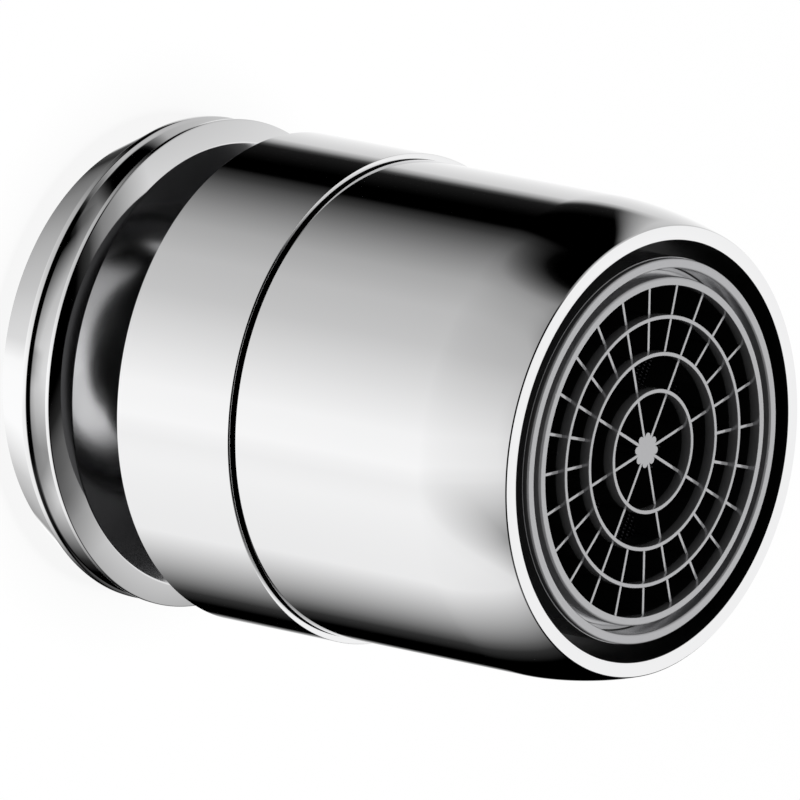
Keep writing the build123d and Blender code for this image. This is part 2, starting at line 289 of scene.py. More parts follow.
grey_plastic = moulded("grey_plastic", (0.43, 0.43, 0.44), 0.13, 0.2, FINE_GRAINS, 0.003, gleam=0.6)
# Nearly black plastic: painted shade on the walls deep in the grid's cells
painted_shade_plastic = moulded("painted_shade_plastic", (0.012, 0.012, 0.0125), 0.25, 0.35, FINE_GRAINS, 0.003)
white_plastic = moulded("white_plastic", (0.78, 0.78, 0.76), 0.35, 0.5, FINE_GRAINS, 0.004)
# Dark plastic of the slip rings; on the jet plate it is painted shade
slip_plastic = moulded("slip_plastic", (0.06, 0.06, 0.065), 0.35, 0.5, COARSE_GRAINS, 0.003)
black_rubber = moulded("black_rubber", (0.02, 0.02, 0.021), 0.55, 0.75, COARSE_GRAINS, 0.01)
print("materials with plastics and rubber:", len(bpy.data.materials))


# %% [markdown]
# ## A pen for turned sections
# Almost every piece is turned on a lathe or moulded round, so its mesh is half of its section, spun once
# round the axis. The pen draws that half section in the XZ plane in millimetres: `to` extrudes the last
# vertex, a corner is rounded by a vertex bevel, and `arc` spins the last vertex about a centre.
# A Screw modifier could turn it too, but the spin operator leaves a plain mesh whose faces can be painted.

# %% Outline pen
TURN_STEPS = 256
CORNER_STEPS = 3


class Outline:
    """Half section of a turned piece, drawn as (radius, height) in millimetres."""

    def __init__(self, mesh, r, z):
        self.mesh = mesh
        self.first = self.last = mesh.verts.new((r * MM, 0, z * MM))
        self.corners = []

    def to(self, r, z, edge=0.0, steps=CORNER_STEPS):
        made = bmesh.ops.extrude_vert_indiv(self.mesh, verts=[self.last])
        self.last = made["verts"][0]
        self.last.co = (r * MM, 0, z * MM)
        if edge:
            self.corners.append((self.last, edge, steps))

    def arc(self, centre_r, centre_z, degrees, steps):
        centre = (centre_r * MM, 0, centre_z * MM)
        angle = math.radians(degrees)
        made = bmesh.ops.spin(
            self.mesh, geom=[self.last], cent=centre, axis=(0, 1, 0), angle=angle, steps=steps
        )
        self.last = made["geom_last"][0]

    def turn(self, steps=TURN_STEPS):
        """Close the outline, round its corners and spin it once round the Z axis."""
        self.mesh.edges.new((self.last, self.first))
        for corner, edge, corner_steps in self.corners:
            bmesh.ops.bevel(
                self.mesh, geom=[corner], offset=edge * MM, offset_type="OFFSET", segments=corner_steps,
                profile=0.5, affect="VERTICES", material=-1,
            )
        wires = [line for line in self.mesh.edges if line.is_wire]
        points = list({point for line in wires for point in line.verts})
        bmesh.ops.spin(
            self.mesh, geom=points + wires, cent=(0, 0, 0), axis=(0, 0, 1), angle=math.tau, steps=steps,
            use_merge=True,
        )


# %% [markdown]
# ## Finishing a piece
# A spun mesh has a doubled seam and may be inside out, so its doubles are merged before its normals are
# recalculated. All faces are smooth, edges over 28 degrees stay sharp, and a Weighted Normal modifier evens
# the shading round the small bevels. Then the piece is parented to the empty of the body it rides on, and the
# CAD node it stands for is hidden. Single faces can be painted before that, by where they lie and which way
# they look.

# %% Add a piece
SHARP_ANGLE = math.radians(28)
MERGE_DISTANCE = 1e-7


def add_piece(name, mesh, materials, body, node=None):
    """Finish a bmesh as a smooth piece that rides on a body and may stand for a CAD node."""
    bmesh.ops.remove_doubles(mesh, verts=mesh.verts, dist=MERGE_DISTANCE)
    bmesh.ops.recalc_face_normals(mesh, faces=mesh.faces)
    for face in mesh.faces:
        face.smooth = True
    for line in mesh.edges:
        line.smooth = line.calc_face_angle(0) < SHARP_ANGLE
    data = bpy.data.meshes.new(name)
    mesh.to_mesh(data)
    mesh.free()
    for material in materials:
        data.materials.append(material)
    piece = bpy.data.objects.new(name, data)
    bpy.context.scene.collection.objects.link(piece)
    weighted = piece.modifiers.new("even_shading", "WEIGHTED_NORMAL")
    weighted.keep_sharp = True
    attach(piece, body)
    if node:
        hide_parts(node)
    print(name, "has", len(data.polygons), "faces")


# %% Paint faces
# How far a face's normal points along a direction, where 1 is straight along it
FULLY = 0.9
HALF = 0.5
PARTLY = 0.3
HARDLY = 0.1


def paint_faces(mesh, index, wanted):
    """Give the material of an index to each face whose radius, height and normal are wanted."""
    bmesh.ops.recalc_face_normals(mesh, faces=mesh.faces)
    for face in mesh.faces:
        middle = face.calc_center_median()
        outwards = Vector((middle.x, middle.y, 0)).normalized()
        if wanted(middle.xy.length / MM, middle.z / MM, face.normal.dot(outwards), face.normal.z):
            face.material_index = index


# %% Read sizes from the frame
def foot(node):
    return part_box(node)[0].z / MM


def top(node):
    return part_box(node)[1].z / MM


def reach(node):
    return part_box(node)[1].x / MM


ball_z = frame["joints"][0]["pos_m"][2] / MM
flange_r = reach("ball_nipple")
print("ball centre at", round(ball_z, 2), "mm, flange radius", round(flange_r, 2), "mm")


# %% [markdown]
# ## Collar, flange and ball
# One turned brass piece screws onto the tap and ends in the ball. Behind its thin flange runs a tapered
# waist, in front of it a shallow dish leads to the neck. Parts joined one by one would leave seams, so the
# whole piece is one outline. The neck's round foot is a corner with a large bevel, and the ball is an arc
# about the joint's own centre. Faces that look inwards are painted brass, the dish and the neck satin.

# %% Outside of the collar
# Edge sizes in millimetres, from the sharpest to the softest
KEEN_EDGE = 0.02
CRISP_EDGE = 0.03
FINE_EDGE = 0.06
WAIST_EDGE = 0.08
SOFT_EDGE = 0.12
ROUND_STEPS = 4
COLLAR_BACK_R = 12.1
COLLAR_LIP_R = 13.5
LIP_LOW_Z = 2.65
LIP_TOP_Z = 2.95
RELIEF_R = 13.34
RELIEF_Z = 3.1
WAIST_R = 12.9
WAIST_Z = 4.0
FLANGE_BACK_Z = 4.45
FLANGE_Z = 4.68
FLANGE_BEVEL = 0.04
DISH_R = 12.41
DISH_Z = 5.35


def draw_collar(pen):
    """From the tap's side over lip, relief, waist and flange to the dish."""
    pen.to(COLLAR_BACK_R, 0, SOFT_EDGE)
    pen.to(COLLAR_LIP_R, LIP_LOW_Z, FINE_EDGE)
    pen.to(COLLAR_LIP_R, LIP_TOP_Z, CRISP_EDGE)
    pen.to(RELIEF_R, RELIEF_Z, FINE_EDGE, ROUND_STEPS)
    pen.to(WAIST_R, WAIST_Z, WAIST_EDGE)
    pen.to(flange_r, FLANGE_BACK_Z, CRISP_EDGE)
    pen.to(flange_r, FLANGE_Z, KEEN_EDGE)
    pen.to(flange_r - FLANGE_BEVEL, FLANGE_Z + FLANGE_BEVEL, KEEN_EDGE)
    pen.to(DISH_R, DISH_Z, FINE_EDGE)


# %% Neck and ball
BALL_R = 9.48
NECK_R = 6.2
DISH_FOOT_Z = 5.67
DISH_FILLET = 1.4
FILLET_ROOM = 0.02
FILLET_STEPS = 20
PACKING_ROOM = 0.05
BALL_BACK_STEPS = 40
BALL_FRONT_STEPS = 6

neck_top_z = ball_z - math.sqrt(BALL_R ** 2 - NECK_R ** 2)
mouth_z = top("ball_nipple")
print("the neck meets the ball at", round(neck_top_z, 2), "mm, and its mouth is at", round(mouth_z, 2), "mm")


def sphere_r(height_z):
    return math.sqrt(BALL_R ** 2 - (height_z - ball_z) ** 2)


def ball_sweep(low_z, high_z):
    """Degrees of the ball's arc between two heights, as a turn about Y from the lower to the higher."""
    low = math.acos((low_z - ball_z) / BALL_R)
    high = math.acos((high_z - ball_z) / BALL_R)
    return math.degrees(high - low)


def draw_ball(pen):
    """From the dish over the neck and the ball, with the groove of the ball's sealing ring."""
    ring_low, ring_high = foot("ball_oring") - PACKING_ROOM, top("ball_oring") + PACKING_ROOM
    groove_r = reach("ball_oring") - (ring_high - ring_low) + PACKING_ROOM
    pen.to(NECK_R + DISH_FILLET + FILLET_ROOM, DISH_FOOT_Z)
    pen.to(NECK_R, DISH_FOOT_Z, DISH_FILLET - FILLET_ROOM, FILLET_STEPS)
    pen.to(NECK_R, neck_top_z)
    pen.arc(0, ball_z, ball_sweep(neck_top_z, ring_low), BALL_BACK_STEPS)
    pen.to(groove_r, ring_low)
    pen.to(groove_r, ring_high)
    pen.to(sphere_r(ring_high), ring_high)
    pen.arc(0, ball_z, ball_sweep(ring_high, mouth_z), BALL_FRONT_STEPS)


# %% Waterway
WATERWAY_R = 4.3
WATERWAY_EDGE = 0.3
BORE_EDGE = 0.1
MOUTH_WALL = 1.3
MOUTH_DEPTH = 3.6
THREAD_TOP_Z = 3.3
THREAD_ROOT_R = 10.92
THREAD_MOUTH = 0.35


def draw_waterway(pen):
    """From the ball's mouth back to the washer's pocket and the wall of the tap thread."""
    pocket_low, pocket_high = foot("tap_washer"), top("tap_washer")
    pocket_r = reach("tap_washer") + PACKING_ROOM
    pen.to(sphere_r(mouth_z) - MOUTH_WALL, mouth_z, BORE_EDGE)
    pen.to(WATERWAY_R, mouth_z - MOUTH_DEPTH, WATERWAY_EDGE)
    pen.to(WATERWAY_R, pocket_high, BORE_EDGE)
    pen.to(pocket_r, pocket_high)
    pen.to(pocket_r, pocket_low)
    pen.to(THREAD_ROOT_R, THREAD_TOP_Z)
    pen.to(THREAD_ROOT_R, THREAD_MOUTH)


# %% Ball nipple
THREAD_CHAMFER = 0.2
BRASS_REACH_R = 11.9
BRASS_LOW_Z = 1.0


def is_bare(r, z, out, up):
    roof = up < -FULLY and z > BRASS_LOW_Z
    return r < BRASS_REACH_R and (out < -PARTLY or roof)


def is_satin(r, z, out, up):
    return out > -HARDLY and up > -HARDLY and DISH_Z < z < neck_top_z and r < DISH_R


def make_ball_nipple():
    mesh = bmesh.new()
    pen = Outline(mesh, THREAD_ROOT_R + THREAD_CHAMFER, 0)
    draw_collar(pen)
    draw_ball(pen)
    draw_waterway(pen)
    pen.turn()
    paint_faces(mesh, 1, is_bare)
    paint_faces(mesh, 2, is_satin)
    finishes = [chrome, bare_brass, satin_chrome]
    add_piece("chromed_ball_nipple", mesh, finishes, "nipple", "ball_nipple")


make_ball_nipple()


# %% [markdown]
# ## The tap thread
# The collar's inside has a fine thread of 1 mm pitch. A bump could fake it, but it is open to view from
# below, so it is a real ridge: a small section that climbs as it spins, which spin does when it gets a step
# along Z as well as a turn. Its foot is sunk a little in the wall, so that no gap shows.

# %% Tap thread
THREAD_PITCH = 1.0
THREAD_CREST_R = 10.46
RIDGE_FOOT = 0.44
RIDGE_CREST = 0.07
RIDGE_SINK = 0.04
THREAD_STEPS = 160


def make_tap_thread():
    mesh = bmesh.new()
    low_z = THREAD_MOUTH + RIDGE_FOOT
    turns = (THREAD_TOP_Z - low_z - RIDGE_FOOT) / THREAD_PITCH
    root, crest = THREAD_ROOT_R + RIDGE_SINK, THREAD_CREST_R
    corners = ((root, -RIDGE_FOOT), (crest, -RIDGE_CREST), (crest, RIDGE_CREST), (root, RIDGE_FOOT))
    points = [mesh.verts.new((r * MM, 0, (low_z + z) * MM)) for r, z in corners]
    section = mesh.faces.new(points)
    steps = round(turns * THREAD_STEPS)
    climb = Vector((0, 0, turns * THREAD_PITCH * MM / steps))
    bmesh.ops.spin(
        mesh, geom=[section], cent=(0, 0, 0), axis=(0, 0, 1), dvec=climb, angle=turns * math.tau,
        steps=steps,
    )
    add_piece("tap_thread", mesh, [bare_brass], "nipple")


make_tap_thread()


# %% [markdown]
# ## The tap washer
# A flat ring of black rubber seals against the tap's end. Its section is a plain rectangle, so four corners
# with soft bevels make it. The outline starts halfway up the hole, because the pen doesn't round its first
# point.

# %% Tap washer
WASHER_HOLE_R = 6.8


def make_tap_washer():
    mesh = bmesh.new()
    low, high, outer = foot("tap_washer"), top("tap_washer"), reach("tap_washer")
    pen = Outline(mesh, WASHER_HOLE_R, (low + high) / 2)
    pen.to(WASHER_HOLE_R, low, SOFT_EDGE)
    pen.to(outer, low, SOFT_EDGE)
    pen.to(outer, high, SOFT_EDGE)
    pen.to(WASHER_HOLE_R, high, SOFT_EDGE)
    pen.turn()
    add_piece("rubber_tap_washer", mesh, [black_rubber], "nipple", "tap_washer")


make_tap_washer()


# %% [markdown]
# ## The sleeve
# The sleeve keeps the ball in its seat and screws onto the nose. It is a thin cup with a lip inside, and its
# front edge stands proud of the nose. A cylinder with a Solidify modifier would have one thickness only, so
# it is drawn too. Only its outside and a narrow lip at the front are polished chrome. The rest of the front
# edge gets a nearly black metal as painted shade at the seam, and its inside and back are dull plating,
# darkened as painted shade.

# %% Retaining sleeve
SLEEVE_BACK_WALL = 1.3
SLEEVE_BACK_EDGE = 0.04
SLEEVE_BORE_R = 12.03
SLEEVE_LIP_R = 8.77
SLEEVE_SHOULDER_Z = 12.54
SLEEVE_LIP_THICKNESS = 1.1
SLEEVE_EDGE_STEPS = 2
SEAM_LIP_R = 13.28


def make_sleeve():
    mesh = bmesh.new()
    back_z, seam_z, body_r = foot("retaining_sleeve"), top("retaining_sleeve"), reach("retaining_sleeve")
    pen = Outline(mesh, body_r - SLEEVE_BACK_WALL, back_z)
    pen.to(body_r, back_z, SLEEVE_BACK_EDGE)
    pen.to(body_r, seam_z, CRISP_EDGE, SLEEVE_EDGE_STEPS)
    pen.to(SEAM_LIP_R, seam_z)
    pen.to(SLEEVE_BORE_R, seam_z)
    pen.to(SLEEVE_BORE_R, SLEEVE_SHOULDER_Z)
    pen.to(SLEEVE_LIP_R, SLEEVE_SHOULDER_Z)
    pen.to(SLEEVE_LIP_R, SLEEVE_SHOULDER_Z - SLEEVE_LIP_THICKNESS, BORE_EDGE)
    pen.turn()
    # The front face inside the lip: nearly black metal as painted shade at the seam
    paint_faces(mesh, 1, lambda r, z, out, up: up > FULLY and r < SEAM_LIP_R)
    # Inside and back: dull plating, darkened as painted shade
    paint_faces(mesh, 2, lambda r, z, out, up: out < -HARDLY or up < -HALF)
    finishes = [chrome, painted_shade_metal, dull_plating_painted_shade]
    add_piece("chromed_sleeve", mesh, finishes, "housing", "retaining_sleeve")


make_sleeve()


# %% [markdown]
# ## The nose
# The nose is a plain cylinder that curves in towards a narrow polished rim, and a fine groove parts it from
# the sleeve. The curve could be a row of points, but it is one long arc, tangent to the cylinder, so it is
# drawn as a corner whose bevel is as long as the arc's tangent. The groove, the bore and the recess round
# the insert get a nearly black metal, which is painted shade.

# %% Nose housing
NOSE_BORE_R = 11.08
SPIGOT_R = 11.98
SEAM_GROOVE_R = 12.88
SEAM_GROOVE_WIDTH = 0.24
SEAM_GROOVE_MARGIN = 0.01
NOSE_CURVE_LENGTH = 5.5
NOSE_CURVE_ROOM = 0.01
NOSE_CURVE_STEPS = 32
RIM_EDGE = 0.06
RIM_OUTER_R = 12.43
RIM_INNER_R = 11.6
RECESS_DEPTH = 5.0
GUIDE_R = 10.72
SHOULDER_Z = 26.74

recess_z = rim_z - RECESS_DEPTH


def make_nose():
    mesh = bmesh.new()
    spigot_z, seam_z, nose_r = foot("nose_housing"), top("retaining_sleeve"), reach("nose_housing")
    groove_top_z = seam_z + SEAM_GROOVE_WIDTH
    curve_z = rim_z - NOSE_CURVE_LENGTH
    curve_rise = NOSE_CURVE_LENGTH - RIM_EDGE
    curve_tangent = ((nose_r - RIM_OUTER_R) ** 2 + curve_rise ** 2) / (2 * curve_rise)
    pen = Outline(mesh, NOSE_BORE_R, spigot_z)
    pen.to(SPIGOT_R, spigot_z)
    pen.to(SPIGOT_R, seam_z)
    pen.to(SEAM_GROOVE_R, seam_z)
    pen.to(SEAM_GROOVE_R, groove_top_z)
    pen.to(nose_r, groove_top_z, CRISP_EDGE)
    pen.to(nose_r, curve_z + curve_tangent, curve_tangent - NOSE_CURVE_ROOM, NOSE_CURVE_STEPS)
    pen.to(RIM_OUTER_R, rim_z - RIM_EDGE)
    pen.to(RIM_OUTER_R - RIM_EDGE, rim_z)
    pen.to(RIM_INNER_R, rim_z, CRISP_EDGE)
    pen.to(RIM_INNER_R, recess_z)
    pen.to(GUIDE_R, recess_z)
    pen.to(GUIDE_R, SHOULDER_Z)
    pen.to(NOSE_BORE_R, SHOULDER_Z)
    pen.turn()
    groove_reach_r = SEAM_GROOVE_R + SEAM_GROOVE_MARGIN
    # Inner walls, recess floor and seam groove: nearly black metal as painted shade
    paint_faces(mesh, 1, lambda r, z, out, up: out < -FULLY or (z < recess_z and abs(up) > FULLY))
    paint_faces(mesh, 1, lambda r, z, out, up: z < groove_top_z and r < groove_reach_r)
    add_piece("chromed_nose", mesh, [chrome, painted_shade_metal], "housing", "nose_housing")


make_nose()


# %% [markdown]
# ## The aerator insert
# A grey plastic cartridge hangs in the nose. Its shell has eight air windows in the gap behind the rim.
# A Boolean could cut them, but the shell is already a grid of faces: we spin it with rows at the windows'
# edges, delete the faces of each window in both walls, and bridge the two open loops.

# %% Air windows
def cut_window(mesh, angle, half_width, low, high):
    """Open a window through both walls and bridge its edges."""
    facing = Vector((math.cos(angle), math.sin(angle), 0))
    walls = []
    for face in mesh.faces:
        middle = face.calc_center_median()
        outwards = Vector((middle.x, middle.y, 0))
        if low < middle.z < high and outwards.angle(facing) < half_width:
            walls.append(face)
    bmesh.ops.delete(mesh, geom=walls, context="FACES")
    open_edges = [line for line in mesh.edges if line.is_boundary]
    bmesh.ops.bridge_loops(mesh, edges=open_edges)


# %% Insert housing
INSERT_STEPS = 200
INSERT_FLANGE_R = 10.98
INSERT_R = 10.62
FRONT_RING_R = 10.59
FRONT_STEP_DEPTH = 0.38
FRONT_BORE_R = 10.04
STACK_R = 9.9
CHAMBER_R = 9.3
CHAMBER_Z = 29.64
AIR_WINDOWS = 8
WINDOW_HALF_STEPS = 5
WINDOW_LOW = 0.3
WINDOW_HEIGHT = 1.0


def make_insert_housing():
    mesh = bmesh.new()
    back_z, screen_z = foot("insert_housing"), foot("upper_screen")
    window_low = recess_z + WINDOW_LOW
    window_high = window_low + WINDOW_HEIGHT
    pen = Outline(mesh, STACK_R, back_z)
    pen.to(INSERT_FLANGE_R, back_z)
    pen.to(INSERT_FLANGE_R, SHOULDER_Z)
    pen.to(INSERT_R, SHOULDER_Z)
    pen.to(INSERT_R, window_low)
    pen.to(INSERT_R, window_high)
    pen.to(INSERT_R, rim_z - FRONT_STEP_DEPTH)
    pen.to(FRONT_RING_R, rim_z - FRONT_STEP_DEPTH)
    pen.to(FRONT_RING_R, rim_z, SOFT_EDGE, ROUND_STEPS)
    pen.to(FRONT_BORE_R, rim_z, SOFT_EDGE, ROUND_STEPS)
    pen.to(FRONT_BORE_R, screen_z)
    pen.to(CHAMBER_R, screen_z)
    pen.to(CHAMBER_R, window_high)
    pen.to(CHAMBER_R, window_low)
    pen.to(CHAMBER_R, CHAMBER_Z)
    pen.to(STACK_R, CHAMBER_Z)
    pen.turn(INSERT_STEPS)
    half_width = WINDOW_HALF_STEPS * math.tau / INSERT_STEPS
    for window in range(AIR_WINDOWS):
        cut_window(mesh, window * math.tau / AIR_WINDOWS, half_width, window_low * MM, window_high * MM)
    add_piece("grey_insert_shell", mesh, [grey_plastic], "housing", "insert_housing")


make_insert_housing()


# %% [markdown]
# ## The outlet grid: rim and rings
# The grid is the finest piece: a lip on a stepped flange, three thin rings, spokes set back behind them, and
# a small lobed hub. The round parts are spun like the other pieces. Their walls look grey for about 0.65 mm
# and black below, in shade, so each wall has an extra row of points at that depth, where a nearly black
# plastic begins as painted shade.

# %% Grid rim and rings
GRID_STEPS = 240
GRID_EDGE = 0.04
GROOVE_DEPTH = 1.2
STEP_DEPTH = 0.35
STEP_WIDTH = 0.2
LIP_OUTER_R = 9.58
LIP_WALL = 0.46
LIP_ROUND = 0.15
RING_WALL = 0.22
RING_DEPTH = 2.1
RING_RADII = (3.33, 5.355, 7.38)
LIT_DEPTH = 0.65


def add_grid_rim(mesh):
    low, outer = foot("outlet_grid"), reach("outlet_grid")
    lip_inner_r = LIP_OUTER_R - LIP_WALL
    groove_z = rim_z - GROOVE_DEPTH
    pen = Outline(mesh, lip_inner_r, low)
    pen.to(outer, low)
    pen.to(outer, groove_z - STEP_DEPTH)
    pen.to(LIP_OUTER_R + STEP_WIDTH, groove_z - STEP_DEPTH)
    pen.to(LIP_OUTER_R + STEP_WIDTH, groove_z, GRID_EDGE)
    pen.to(LIP_OUTER_R, groove_z)
    pen.to(LIP_OUTER_R, rim_z, LIP_ROUND, ROUND_STEPS)
    pen.to(lip_inner_r, rim_z, CRISP_EDGE)
    pen.to(lip_inner_r, rim_z - LIT_DEPTH)
    pen.turn(GRID_STEPS)


def add_grid_ring(mesh, radius):
    inner, outer = radius - RING_WALL / 2, radius + RING_WALL / 2
    pen = Outline(mesh, inner, rim_z - RING_DEPTH)
    pen.to(outer, rim_z - RING_DEPTH)
    pen.to(outer, rim_z - LIT_DEPTH)
    pen.to(outer, rim_z, GRID_EDGE)
    pen.to(inner, rim_z, GRID_EDGE)
    pen.to(inner, rim_z - LIT_DEPTH)
    pen.turn(GRID_STEPS)


rings = bmesh.new()
add_grid_rim(rings)
for radius in RING_RADII:
    add_grid_ring(rings, radius)
print("rim and rings have", len(rings.faces), "faces")


# %% [markdown]
# ## The outlet grid: spokes and hub
# Eight spokes run from the hub to the second ring, and twenty-four from there to the lip. A spoke could be
# copied by an Array modifier, but the two sets differ in length and number, so a loop makes thin bars and
# bevels their long edges. The hub is a short post, with a small post between each pair of spokes as a lobe.

# %% Spokes
SPOKE_WIDTH = 0.18
SPOKE_SETBACK = 0.47
SPOKE_EDGE_STEPS = 2
SPOKE_DEPTH = RING_DEPTH - SPOKE_SETBACK
INNER_SPOKES = 8
OUTER_SPOKES = 24
HUB_R = 0.75

spoke_middle_z = rim_z - RING_DEPTH + SPOKE_DEPTH / 2
lip_middle_r = LIP_OUTER_R - LIP_WALL / 2


def add_spokes(mesh, count, inner_r, outer_r):
    size = Matrix.Diagonal(Vector((outer_r - inner_r, SPOKE_WIDTH, SPOKE_DEPTH)) * MM).to_4x4()
    middle = Vector(((inner_r + outer_r) / 2, 0, spoke_middle_z)) * MM
    for spoke in range(count):
        turned = Matrix.Rotation(spoke * math.tau / count, 4, "Z")
        made = bmesh.ops.create_cube(mesh, size=1, matrix=turned @ Matrix.Translation(middle) @ size)
        high = [point for point in made["verts"] if point.co.z > middle.z]
        ridges = {line for point in high for line in point.link_edges if line.other_vert(point) in high}
        long_ridges = [line for line in ridges if line.calc_length() > 2 * SPOKE_WIDTH * MM]
        bmesh.ops.bevel(
            mesh, geom=long_ridges, offset=CRISP_EDGE * MM, segments=SPOKE_EDGE_STEPS, profile=0.5,
            affect="EDGES", material=-1,
        )


bars = bmesh.new()
add_spokes(bars, INNER_SPOKES, HUB_R / 2, RING_RADII[1])
add_spokes(bars, OUTER_SPOKES, RING_RADII[1], lip_middle_r)
print("spokes have", len(bars.faces), "faces")

# %% Hub
HUB_STEPS = 48
LOBE_R = 0.22
LOBE_STEPS = 16


def add_post(mesh, radius, x, y, segments):
    middle = Vector((x, y, spoke_middle_z)) * MM
    bmesh.ops.create_cone(
        mesh, cap_ends=True, segments=segments, radius1=radius * MM, radius2=radius * MM,
        depth=SPOKE_DEPTH * MM, matrix=Matrix.Translation(middle),
    )


add_post(bars, HUB_R, 0, 0, HUB_STEPS)
for lobe in range(INNER_SPOKES):
    angle = (lobe + 0.5) * math.tau / INNER_SPOKES
    add_post(bars, LOBE_R, HUB_R * math.cos(angle), HUB_R * math.sin(angle), LOBE_STEPS)
print("spokes and hub have", len(bars.faces), "faces")


# %% [markdown]
# ## The outlet grid: one shell
# The real grid is one moulding. Bars that only overlap the rings would leave hidden faces inside the plastic,
# so a Boolean modifier makes the union of the two meshes, and its result is read back as one shell.
# Then the walls deep in the cells get the nearly black plastic, which is painted shade.

# %% Outlet grid
def weld(first, second):
    """Union of two meshes of overlapping shells, made by a Boolean modifier and read back as one mesh."""
    parts = []
    for name, mesh in (("grid_rings", first), ("grid_bars", second)):
        bmesh.ops.recalc_face_normals(mesh, faces=mesh.faces)
        data = bpy.data.meshes.new(name)
        mesh.to_mesh(data)
        mesh.free()
        parts.append(bpy.data.objects.new(name, data))
        bpy.context.scene.collection.objects.link(parts[-1])
    union = parts[0].modifiers.new("weld", "BOOLEAN")
    union.operation = "UNION"
    union.solver = "EXACT"
    union.use_self = True
    union.object = parts[1]
    welded = bmesh.new()
    welded.from_object(parts[0], bpy.context.evaluated_depsgraph_get())
    for part in parts:
        bpy.data.objects.remove(part)
    return welded


deep_z = rim_z - LIT_DEPTH
grid = weld(rings, bars)
# Walls deeper than LIT_DEPTH take the nearly black plastic as painted shade
paint_faces(grid, 1, lambda r, z, out, up: z < deep_z and r < lip_middle_r and abs(up) < HALF)
add_piece("grey_outlet_grid", grid, [grey_plastic, painted_shade_plastic], "housing", "outlet_grid")


# %% [markdown]
# ## The steel screens
# Two discs of fine wire mesh break the jets into foam behind the grid. An image could fake the mesh, but
# real wires cost little here: each disc is a flat grid of faces, cut to a circle, turned into wires by the
# wireframe operator and held in a plain border ring.

# %% Wire screens
SCREEN_CELL = 0.4
SCREEN_WIRE = 0.14
SCREEN_BORDER = 0.6
SCREEN_STEPS = 120


def make_screen(node, name):
    mesh = bmesh.new()
    low, high, outer = foot(node), top(node), reach(node)
    middle_z = (low + high) / 2
    cells = math.ceil(2 * outer / SCREEN_CELL)
    half_side = cells * SCREEN_CELL / 2
    bmesh.ops.create_grid(
        mesh, x_segments=cells, y_segments=cells, size=half_side * MM,
        matrix=Matrix.Translation((0, 0, middle_z * MM)),
    )
    outside = [point for point in mesh.verts if point.co.xy.length > (outer - SCREEN_BORDER / 2) * MM]
    bmesh.ops.delete(mesh, geom=outside, context="VERTS")
    loose = [point for point in mesh.verts if not point.link_faces]
    bmesh.ops.delete(mesh, geom=loose, context="VERTS")
    bmesh.ops.wireframe(
        mesh, faces=mesh.faces[:], thickness=SCREEN_WIRE * MM, offset=0, use_boundary=True,
        use_replace=True, use_even_offset=True,
    )
    pen = Outline(mesh, outer - SCREEN_BORDER, low)
    pen.to(outer, low)
    pen.to(outer, high)
    pen.to(outer - SCREEN_BORDER, high)
    pen.turn(SCREEN_STEPS)
    # The wire's near black is painted shade
    add_piece(name, mesh, [painted_shade_wire], "housing", node)


make_screen("upper_screen", "upper_wire_screen")
make_screen("lower_screen", "lower_wire_screen")


# %% [markdown]
# ## The pieces inside
# Seals, slip rings, strainer and regulator are already right as CAD solids and mostly stay out of sight.
# Modelling them again would add nothing, so each CAD object only gets the material of its kind, except the
# jet plate, whose dark plastic is painted shade.

# %% Finish the carried-over nodes
INNER_FINISHES = {
    "ball_oring": black_rubber,
    "seat_oring": black_rubber,
    "insert_gasket": black_rubber,
    "regulator_oring": black_rubber,
    "rear_slip_ring": slip_plastic,
    "seat_ring": slip_plastic,
    "strainer": white_plastic,
    "regulator_body": white_plastic,
    # The jet plate's dark plastic is painted shade deep in the insert
    "jet_plate": slip_plastic,
    "screen_spacer": grey_plastic,
}
for node, material in INNER_FINISHES.items():
    slots = frame["nodes"][node].data.materials
    slots.clear()
    slots.append(material)
print("finished", len(INNER_FINISHES), "inner pieces")


# %% [markdown]
# ## Ramps along a direction
# Chrome shows what stands around it, so the studio is painted by direction: how far a ray goes to the
# photograph's right, up or towards the camera. A dot product gives each of these as a value from -1 to 1,
# and a colour ramp turns it into a brightness. Several ramps are multiplied, as masks are.

# %% Ramp helpers
def along(tree, direction, axis):
    node = add_node(tree, "ShaderNodeVectorMath", operation="DOT_PRODUCT")
    tree.links.new(direction, node.inputs[0])
    node.inputs[1].default_value = axis
    return node.outputs["Value"]


def ramp_node(tree, value, stops):
    """Colour ramp on a value from -1 to 1, with its stops given as (position, brightness)."""
    share = math_node(tree, "MULTIPLY_ADD", value, HALF)
    share.node.inputs[2].default_value = HALF
    ramp = add_node(tree, "ShaderNodeValToRGB")
    points = ramp.color_ramp.elements
    while len(points) < len(stops):
        points.new(HALF)
    for point, (position, brightness) in zip(points, stops):
        point.position = position * HALF + HALF
        point.color = (brightness, brightness, brightness, 1)
    tree.links.new(share, ramp.inputs["Fac"])
    return ramp.outputs["Color"]


def inverse(tree, value):
    return math_node(tree, "SUBTRACT", 1.0, value)


def product(tree, *values):
    result = values[0]
    for value in values[1:]:
        result = math_node(tree, "MULTIPLY", result, value)
    return result


# %% [markdown]
# ## The white tent
# In the photograph the chrome mirrors a white tent which dims towards its top, with dark openings overhead,
# at the left, below and at the lower left, and the dark room in front around the camera. Panels and lamps
# could build that, but they would need many trials: with ramps, each edge of a reflection on the object is
# one number here. Each `closed` function gives the share of the tent that its openings leave closed.

# %% Cloth
TENT_BY_HEIGHT = (
    (-1.0, 0.75), (-0.75, 0.9), (-0.45, 0.98), (0.0, 0.96), (0.2, 0.84), (0.4, 0.7),
    (0.55, 0.58), (0.7, 0.51), (0.85, 0.45), (0.91, 0.4), (0.94, 0.2), (0.97, 0.0),
)
FAR_RIGHT = ((0.6, 1.0), (0.95, 0.9))


def cloth_brightness(tree, right, height):
    return product(tree, ramp_node(tree, height, TENT_BY_HEIGHT), ramp_node(tree, right, FAR_RIGHT))


